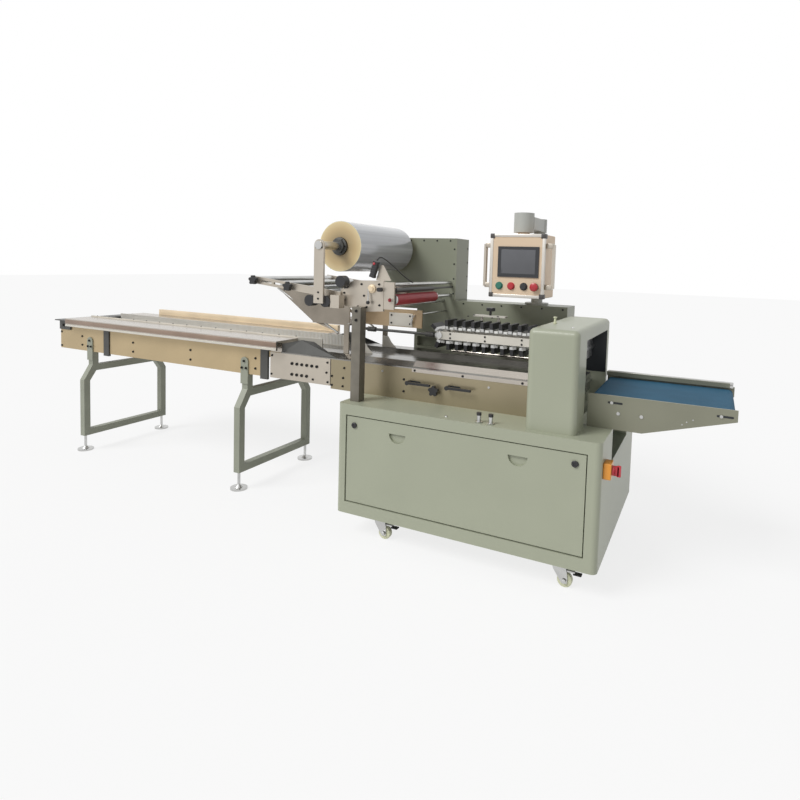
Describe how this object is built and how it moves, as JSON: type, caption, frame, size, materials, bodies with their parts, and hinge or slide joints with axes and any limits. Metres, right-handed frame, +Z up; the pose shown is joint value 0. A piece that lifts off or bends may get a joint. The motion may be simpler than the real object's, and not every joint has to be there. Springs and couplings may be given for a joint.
{
  "type": "horizontal flow wrapper",
  "caption": "Horizontal flow wrapping machine with infeed conveyor, film roll, forming box, hold-down chain, end-seal hood, outfeed belt and swivelling control panel.",
  "frame": {"origin": "on the floor, at the middle of the overall length and depth", "axes": "+X along the product's flow from infeed to outfeed, -Y the operator's side, +Z up"},
  "size_m": [4.02, 0.942, 1.534],
  "materials": {
    "belt": "blue belt",
    "black_plastic": "matte black",
    "bright": "bright machined aluminium",
    "button": "push button plastic",
    "champagne": "brushed champagne anodised plate",
    "cream_plastic": "cream nylon",
    "dark_metal": "black oxide",
    "film": "clear wound film",
    "galvanised": "dull galvanised",
    "green_paint": "satin grey-green powder paint",
    "red": "red plastic",
    "rubber_red": "red rubber",
    "screen": "black glass-like plastic",
    "stainless": "brushed stainless sheet",
    "steel": "machined steel",
    "white_metal": "off-white satin",
    "yellow": "yellow plastic"
  },
  "bodies": {
    "machine": {"access_panel": "green_paint", "cabinet": "green_paint", "caster_plates": "steel", "clamp_knobs": "black_plastic", "deck_bed": "stainless", "deck_side_plates": "champagne", "dial_stems": "steel", "drive_rod": "dark_metal", "end_seal_hood": "green_paint", "film_sensor": "black_plastic", "flight_blocks": "black_plastic", "flight_chain": "steel", "former_arms": "bright", "forming_box": "stainless", "front_side_plate": "bright", "guide_rollers": "steel", "hand_controls": "black_plastic", "hold_down_frame": "white_metal", "infeed_side_plates": "champagne", "infeed_table": "stainless", "infeed_tail": "dark_metal", "infeed_uprights": "dark_metal", "leg_frame_1": "green_paint", "leg_frame_2": "green_paint", "levelling_feet": "steel", "outfeed_belt": "belt", "outfeed_frame": "champagne", "panel_post": "green_paint", "rear_wall_lower": "green_paint", "rear_wall_upper": "green_paint", "roll_arm": "bright", "sealing_jaws": "steel", "splice_plates": "bright", "square_post": "galvanised", "switch_base": "yellow", "throat_panel": "champagne", "trough_guides": "white_metal"},
    "film_roll_body": {"film_roll": "film", "roll_mandrel": "steel"},
    "feed_roller_body": {"feed_roller": "rubber_red"},
    "panel_arm_body": {"panel_arm": "green_paint"},
    "control_panel": {"control_box": "bright", "panel_screen": "screen", "panel_buttons": "button", "panel_handles": "bright"},
    "switch_handle": {"switch_knob": "red"},
    "caster_swivel_front_left": {"caster_fork_front_left": "steel"},
    "caster_wheel_front_left": {"caster_wheel_front_left": "cream_plastic"},
    "caster_swivel_front_right": {"caster_fork_front_right": "steel"},
    "caster_wheel_front_right": {"caster_wheel_front_right": "cream_plastic"},
    "caster_swivel_rear_left": {"caster_fork_rear_left": "steel"},
    "caster_wheel_rear_left": {"caster_wheel_rear_left": "cream_plastic"},
    "caster_swivel_rear_right": {"caster_fork_rear_right": "steel"},
    "caster_wheel_rear_right": {"caster_wheel_rear_right": "cream_plastic"}
  },
  "joints": [
    {"name": "film_roll_spin", "type": "hinge", "parent": "machine", "child": "film_roll_body", "pos_m": [0.232, 0, 1.341], "axis": [0, 1, 0], "continuous": true},
    {"name": "feed_roller_spin", "type": "hinge", "parent": "machine", "child": "feed_roller_body", "pos_m": [0.582, 0, 1.099], "axis": [0, 1, 0], "continuous": true},
    {"name": "panel_arm_swing", "type": "hinge", "parent": "machine", "child": "panel_arm_body", "pos_m": [1.052, 0.379, 1.484], "axis": [0, 0, 1], "range_deg": [-60, 90]},
    {"name": "panel_swivel", "type": "hinge", "parent": "panel_arm_body", "child": "control_panel", "pos_m": [1.031, 0.165, 1.425], "axis": [0, 0, 1], "range_deg": [-60, 60]},
    {"name": "main_switch_turn", "type": "hinge", "parent": "machine", "child": "switch_handle", "pos_m": [1.592, -0.406, 0.507], "axis": [1, 0, 0], "range_deg": [0, 90]},
    {"name": "caster_swivel_front_left", "type": "hinge", "parent": "machine", "child": "caster_swivel_front_left", "pos_m": [0.574, -0.393, 0.092], "axis": [0, 0, 1], "continuous": true},
    {"name": "caster_roll_front_left", "type": "hinge", "parent": "caster_swivel_front_left", "child": "caster_wheel_front_left", "pos_m": [0.6, -0.393, 0.03], "axis": [0, 1, 0], "continuous": true},
    {"name": "caster_swivel_front_right", "type": "hinge", "parent": "machine", "child": "caster_swivel_front_right", "pos_m": [1.404, -0.393, 0.092], "axis": [0, 0, 1], "continuous": true},
    {"name": "caster_roll_front_right", "type": "hinge", "parent": "caster_swivel_front_right", "child": "caster_wheel_front_right", "pos_m": [1.43, -0.393, 0.03], "axis": [0, 1, 0], "continuous": true},
    {"name": "caster_swivel_rear_left", "type": "hinge", "parent": "machine", "child": "caster_swivel_rear_left", "pos_m": [0.574, 0.393, 0.092], "axis": [0, 0, 1], "continuous": true},
    {"name": "caster_roll_rear_left", "type": "hinge", "parent": "caster_swivel_rear_left", "child": "caster_wheel_rear_left", "pos_m": [0.6, 0.393, 0.03], "axis": [0, 1, 0], "continuous": true},
    {"name": "caster_swivel_rear_right", "type": "hinge", "parent": "machine", "child": "caster_swivel_rear_right", "pos_m": [1.404, 0.393, 0.092], "axis": [0, 0, 1], "continuous": true},
    {"name": "caster_roll_rear_right", "type": "hinge", "parent": "caster_swivel_rear_right", "child": "caster_wheel_rear_right", "pos_m": [1.43, 0.393, 0.03], "axis": [0, 1, 0], "continuous": true}
  ]
}
